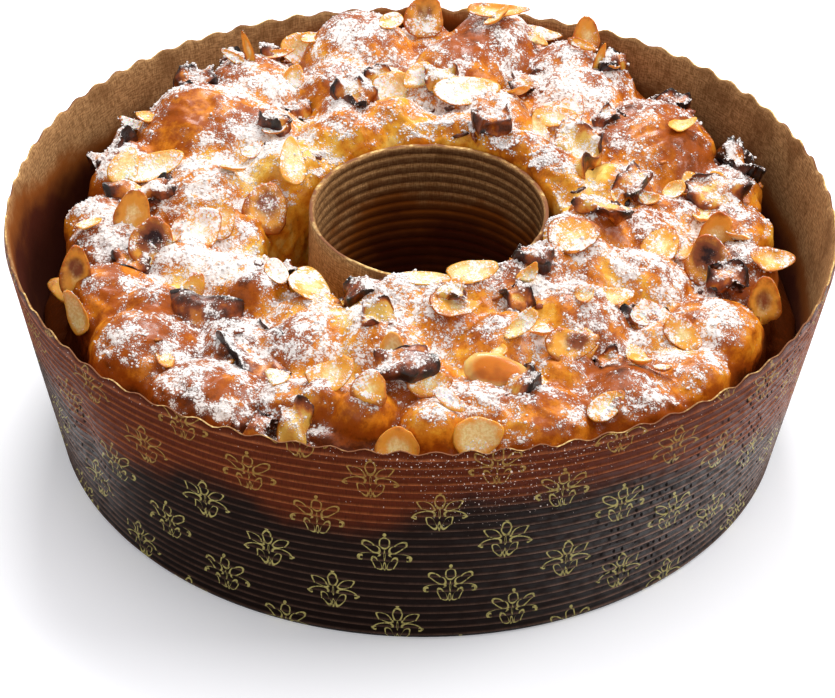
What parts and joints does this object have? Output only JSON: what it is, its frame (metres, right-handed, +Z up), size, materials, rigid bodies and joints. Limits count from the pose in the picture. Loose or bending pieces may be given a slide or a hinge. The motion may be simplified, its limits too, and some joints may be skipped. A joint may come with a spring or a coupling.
{
  "type": "apple ring cake",
  "caption": "Rustic ring cake in a round fluted paper baking case with a central tube, topped with scorched apple pieces, flaked almonds and icing sugar.",
  "frame": {"origin": "on the table under the middle of the case, whose tube stands 2 mm off that middle towards +X", "axes": "+Z up, -Y towards the front of the cake as pictured, +X to the right"},
  "size_m": [0.2284, 0.2166, 0.0772],
  "materials": {
    "printed_case_paper": "dark brown printed fluted paper, satin, with small gold ornaments",
    "kraft_case_paper": "plain brown baking paper, matt, stained by the bake near the dough",
    "baked_dough": "glazed golden brown crust dusted with icing sugar",
    "roasted_apple": "caramelised apple, scorched nearly black at the edges"
  },
  "bodies": {
    "root": {"case_wall": "printed_case_paper", "case_base": "kraft_case_paper", "case_tube": "kraft_case_paper", "cake": "baked_dough", "apple_01": "roasted_apple", "apple_02": "roasted_apple", "apple_03": "roasted_apple", "apple_04": "roasted_apple", "apple_05": "roasted_apple", "apple_06": "roasted_apple", "apple_07": "roasted_apple", "apple_08": "roasted_apple", "apple_09": "roasted_apple", "apple_10": "roasted_apple", "apple_11": "roasted_apple", "apple_12": "roasted_apple", "apple_13": "roasted_apple", "apple_14": "roasted_apple", "apple_15": "roasted_apple", "apple_16": "roasted_apple", "apple_17": "roasted_apple", "apple_18": "roasted_apple", "apple_19": "roasted_apple", "apple_20": "roasted_apple", "apple_21": "roasted_apple", "apple_22": "roasted_apple", "apple_23": "roasted_apple", "apple_24": "roasted_apple", "apple_25": "roasted_apple", "apple_26": "roasted_apple", "apple_27": "roasted_apple", "apple_28": "roasted_apple", "apple_29": "roasted_apple", "apple_30": "roasted_apple", "apple_31": "roasted_apple", "apple_32": "roasted_apple", "apple_33": "roasted_apple", "apple_34": "roasted_apple", "apple_35": "roasted_apple", "apple_36": "roasted_apple"}
  },
  "joints": []
}
